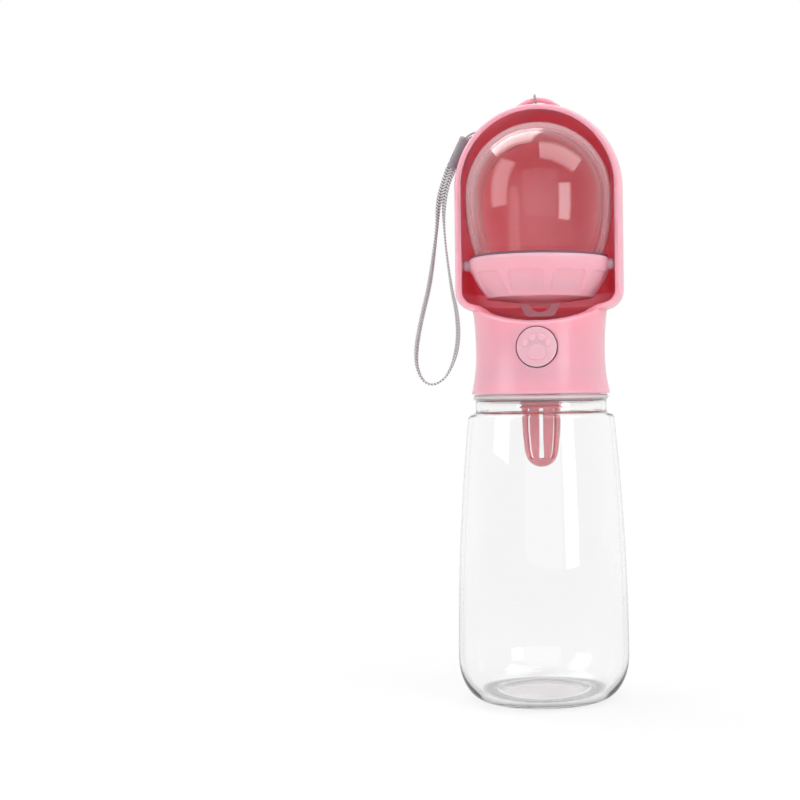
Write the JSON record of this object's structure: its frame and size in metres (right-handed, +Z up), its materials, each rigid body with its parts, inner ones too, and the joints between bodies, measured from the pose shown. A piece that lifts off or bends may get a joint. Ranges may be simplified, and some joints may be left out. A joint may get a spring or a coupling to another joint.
{
  "type": "dog travel water bottle",
  "caption": "Clear bottle with a screw-on capsule head; a push button opens the valve and a drinking cup folds forward out of the head.",
  "frame": {"origin": "middle of the ring that the bottle stands on, on the ground", "axes": "+Z up along the bottle's axis, -Y towards the button and the cup, +X to the right of someone facing the button"},
  "size_m": [0.0904, 0.072, 0.2561],
  "materials": {
    "clear_bottle": "clear, polished",
    "clear_cup": "clear, polished",
    "shell_pink": "fine satin moulding",
    "cup_pink": "satin moulding",
    "inner_pink": "satin moulding",
    "button_pink": "gloss",
    "filter_pink": "satin moulding",
    "white_plastic": "satin moulding",
    "white_silicone": "soft, matt",
    "black_rubber": "soft, matt",
    "seal_mauve": "soft, matt",
    "spring_steel": "drawn wire",
    "cord_grey": "twisted cord",
    "braid_grey": "braided twill",
    "ferrule_grey": "satin"
  },
  "bodies": {
    "bottle": {"bottle": "clear_bottle"},
    "gasket": {"neck_gasket": "white_silicone"},
    "head": {"head_shell": "shell_pink", "valve_deck": "inner_pink", "valve_body": "white_plastic", "valve_plug": "white_plastic", "outlet_spout": "inner_pink", "button_spring": "spring_steel", "strap_cord": "cord_grey", "strap_ferrule": "ferrule_grey", "strap_loop": "braid_grey"},
    "button": {"button_cap": "button_pink", "valve_stem": "white_plastic", "stem_o_ring": "black_rubber", "poppet_seal": "white_silicone"},
    "cup": {"cup_base": "cup_pink", "cup_dome": "clear_cup", "cup_seal": "seal_mauve", "hinge_pins": "spring_steel"},
    "filter": {"filter_basket": "filter_pink", "filter_washer": "white_silicone"}
  },
  "joints": [
    {"name": "head_lift", "type": "slide", "parent": "bottle", "child": "gasket", "axis": [0, 0, 1], "range_m": [0, 0.0075]},
    {"name": "head_unscrew", "type": "hinge", "parent": "gasket", "child": "head", "pos_m": [0, 0, 0.1352], "axis": [0, 0, 1], "range_deg": [0, 540]},
    {"name": "button_press", "type": "slide", "parent": "head", "child": "button", "axis": [0, 1, 0], "range_m": [0, 0.003], "stiffness_N_per_m": 400, "springref_m": -0.002, "deforming": ["button_spring"]},
    {"name": "cup_fold", "type": "hinge", "parent": "head", "child": "cup", "pos_m": [0, -0.0055, 0.1825], "axis": [1, 0, 0], "range_deg": [0, 86]},
    {"name": "filter_pull", "type": "slide", "parent": "head", "child": "filter", "axis": [0, 0, -1], "range_m": [0, 0.015]}
  ],
  "couplings": [
    {"joint": "head_lift", "follows": "head_unscrew", "m_per_rad": 0.00079577}
  ]
}
